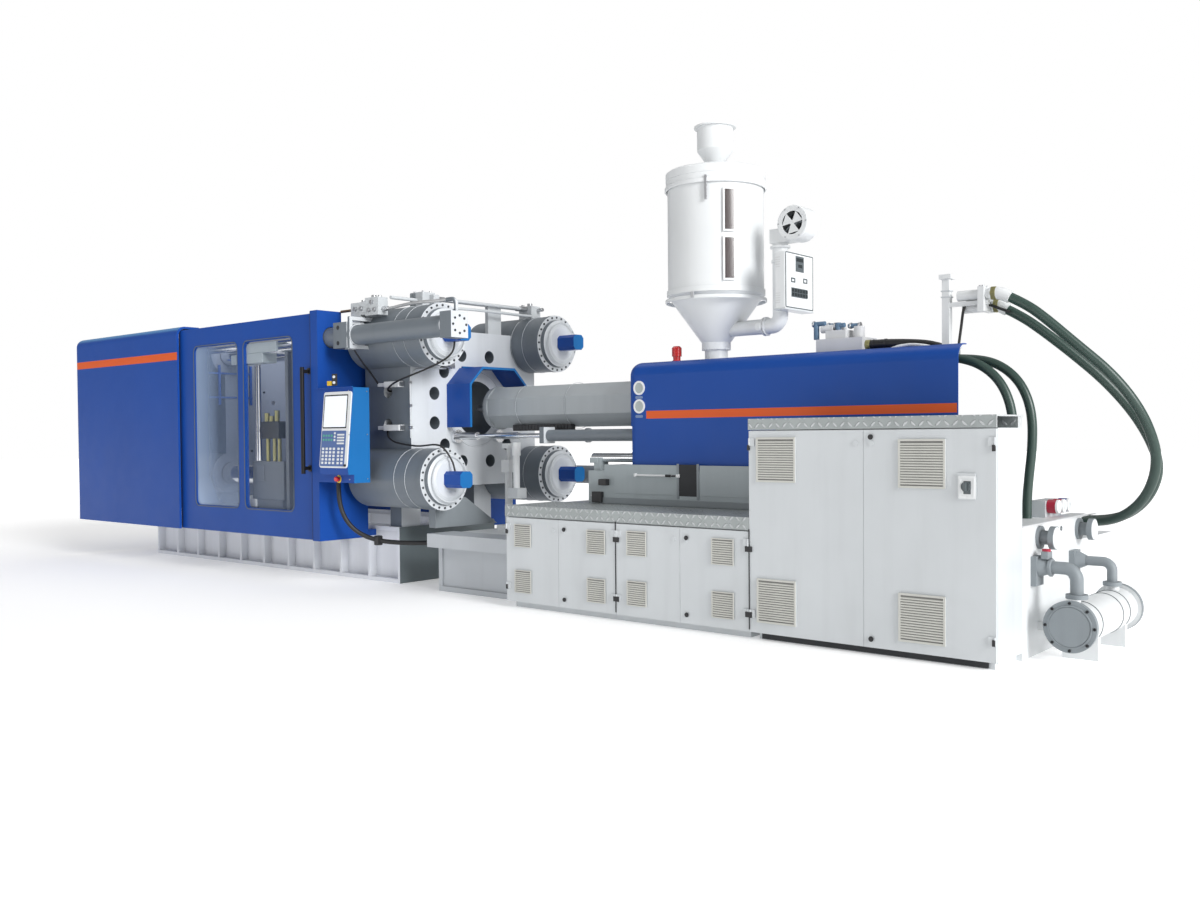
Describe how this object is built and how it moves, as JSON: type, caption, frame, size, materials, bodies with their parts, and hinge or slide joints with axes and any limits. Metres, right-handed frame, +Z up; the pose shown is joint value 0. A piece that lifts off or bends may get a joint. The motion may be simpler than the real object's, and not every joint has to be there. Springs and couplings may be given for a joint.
{
  "type": "injection moulding machine",
  "caption": "Large horizontal injection moulding machine: two-platen clamp behind blue sliding doors, platens on tie bars, injection unit with hopper dryer, cabinets, oil tank and cooler.",
  "frame": {"origin": "on the floor below the fixed platen's mould face, on the machine's centre plane", "axes": "+X along the machine towards the injection unit and tank end, +Y away from the operator's side, +Z up"},
  "size_m": [9.9018, 2.304, 3.272],
  "materials": {
    "blue_enamel": "gloss",
    "grey_paint": "satin",
    "platen_paint": "satin",
    "white_paint": "satin",
    "light_grey_paint": "satin",
    "cast_grey": "matte",
    "hard_chrome": "polished",
    "machined_steel": "machined",
    "tread_aluminium": "chequered",
    "clear_pane": "clear",
    "black_rubber": "matte",
    "green_rubber": "matte",
    "red_gloss": "gloss",
    "black_plastic": "matte"
  },
  "bodies": {
    "machine": {"clamp_base": "grey_paint", "fixed_platen": "platen_paint", "tie_bars": "hard_chrome", "lock_covers": "platen_paint", "sensor_caps": "blue_enamel", "bed": "white_paint", "front_step": "grey_paint", "cabinets": "white_paint", "tread_plates": "tread_aluminium", "unit_frame": "grey_paint", "guide_bars": "hard_chrome", "pull_rods": "hard_chrome", "barrel_support": "white_paint", "heat_exchanger": "white_paint", "cooler_pipework": "cast_grey", "socket_box": "light_grey_paint", "left_cover": "blue_enamel", "guard_post": "blue_enamel", "rear_guard": "blue_enamel", "control_box": "blue_enamel", "traverse_cylinders": "platen_paint", "platen_manifold": "cast_grey", "pump_motor": "cast_grey", "clamp_cords": "black_rubber"},
    "clamp": {"moving_platen": "platen_paint", "traverse_rods": "hard_chrome"},
    "jaws_front": {"nut_jaws_front": "machined_steel"},
    "jaws_rear": {"nut_jaws_rear": "machined_steel"},
    "ejector_unit": {"ejector": "machined_steel"},
    "carriage": {"barrel": "machined_steel", "barrel_cover": "light_grey_paint", "carriage_housing": "cast_grey", "injection_cylinders": "platen_paint", "pull_cylinders": "platen_paint", "injection_cover": "blue_enamel", "hopper": "white_paint", "dryer_duct": "white_paint", "dryer_control": "white_paint", "valve_manifold": "cast_grey", "beacon": "red_gloss", "hose_post": "white_paint", "return_hoses": "green_rubber", "feed_hoses": "black_rubber"},
    "ram_unit": {"ram": "cast_grey"},
    "screw_unit": {"screw": "machined_steel"},
    "lid": {"hopper_lid": "white_paint", "loader_cup": "white_paint"},
    "fan_rotor": {"fan": "cast_grey"},
    "front_door": {"operator_door": "blue_enamel", "door_windows": "clear_pane"},
    "back_door": {"rear_door": "blue_enamel"},
    "hood": {"purge_hood": "blue_enamel"},
    "stop_button": {"e_stop": "red_gloss"},
    "low_leaf_1": {"low_door_1": "white_paint"},
    "low_leaf_2": {"low_door_2": "white_paint"},
    "low_leaf_3": {"low_door_3": "white_paint"},
    "low_leaf_4": {"low_door_4": "white_paint"},
    "tall_leaf_1": {"tall_door_1": "white_paint"},
    "tall_leaf_2": {"tall_door_2": "white_paint"},
    "switch_knob": {"main_switch": "black_plastic"}
  },
  "joints": [
    {"name": "clamp_stroke", "type": "slide", "parent": "machine", "child": "clamp", "axis": [1, 0, 0], "range_m": [0, 1.4]},
    {"name": "front_jaw_stroke", "type": "slide", "parent": "clamp", "child": "jaws_front", "axis": [0, 1, 0], "range_m": [0, 0.045]},
    {"name": "rear_jaw_stroke", "type": "slide", "parent": "clamp", "child": "jaws_rear", "axis": [0, -1, 0], "range_m": [0, 0.045]},
    {"name": "ejector_stroke", "type": "slide", "parent": "clamp", "child": "ejector_unit", "axis": [1, 0, 0], "range_m": [0, 0.15]},
    {"name": "carriage_stroke", "type": "slide", "parent": "machine", "child": "carriage", "axis": [1, 0, 0], "range_m": [-0.55, 0.09], "deforming": ["return_hoses", "feed_hoses"]},
    {"name": "injection_stroke", "type": "slide", "parent": "carriage", "child": "ram_unit", "axis": [1, 0, 0], "range_m": [0, 0.28]},
    {"name": "screw_spin", "type": "hinge", "parent": "ram_unit", "child": "screw_unit", "pos_m": [3, 0, 1.415], "axis": [1, 0, 0], "continuous": true},
    {"name": "lid_hinge", "type": "hinge", "parent": "carriage", "child": "lid", "pos_m": [2.945, 0.341, 2.9095], "axis": [-1, 0, 0], "range_deg": [0, 75]},
    {"name": "fan_spin", "type": "hinge", "parent": "carriage", "child": "fan_rotor", "pos_m": [3.583, 0, 2.535], "axis": [0, 1, 0], "continuous": true},
    {"name": "front_door_slide", "type": "slide", "parent": "machine", "child": "front_door", "axis": [-1, 0, 0], "range_m": [0, 1.8]},
    {"name": "rear_door_slide", "type": "slide", "parent": "machine", "child": "back_door", "axis": [-1, 0, 0], "range_m": [0, 1.8]},
    {"name": "purge_hood_hinge", "type": "hinge", "parent": "machine", "child": "hood", "pos_m": [0.569, 0, 1.749], "axis": [0, -1, 0], "range_deg": [0, 88]},
    {"name": "stop_press", "type": "slide", "parent": "machine", "child": "stop_button", "axis": [0, 1, 0], "range_m": [0, 0.006], "stiffness_N_per_m": 2500},
    {"name": "low_door_1_hinge", "type": "hinge", "parent": "machine", "child": "low_leaf_1", "pos_m": [1.763, -0.8525, 0.33], "axis": [0, 0, -1], "range_deg": [0, 110]},
    {"name": "low_door_2_hinge", "type": "hinge", "parent": "machine", "child": "low_leaf_2", "pos_m": [2.738, -0.8525, 0.33], "axis": [0, 0, 1], "range_deg": [0, 90]},
    {"name": "low_door_3_hinge", "type": "hinge", "parent": "machine", "child": "low_leaf_3", "pos_m": [2.75, -0.8525, 0.33], "axis": [0, 0, -1], "range_deg": [0, 90]},
    {"name": "low_door_4_hinge", "type": "hinge", "parent": "machine", "child": "low_leaf_4", "pos_m": [3.739, -0.8525, 0.33], "axis": [0, 0, 1], "range_deg": [0, 90]},
    {"name": "tall_door_1_hinge", "type": "hinge", "parent": "machine", "child": "tall_leaf_1", "pos_m": [3.751, -0.8525, 0.62], "axis": [0, 0, -1], "range_deg": [0, 90]},
    {"name": "tall_door_2_hinge", "type": "hinge", "parent": "machine", "child": "tall_leaf_2", "pos_m": [5.174, -0.8525, 0.62], "axis": [0, 0, 1], "range_deg": [0, 110]},
    {"name": "main_switch_turn", "type": "hinge", "parent": "tall_leaf_2", "child": "switch_knob", "pos_m": [5.032, -0.86, 0.918], "axis": [0, 1, 0], "range_deg": [0, 90]}
  ],
  "couplings": [
    {"joint": "rear_jaw_stroke", "follows": "front_jaw_stroke", "ratio": 1}
  ]
}
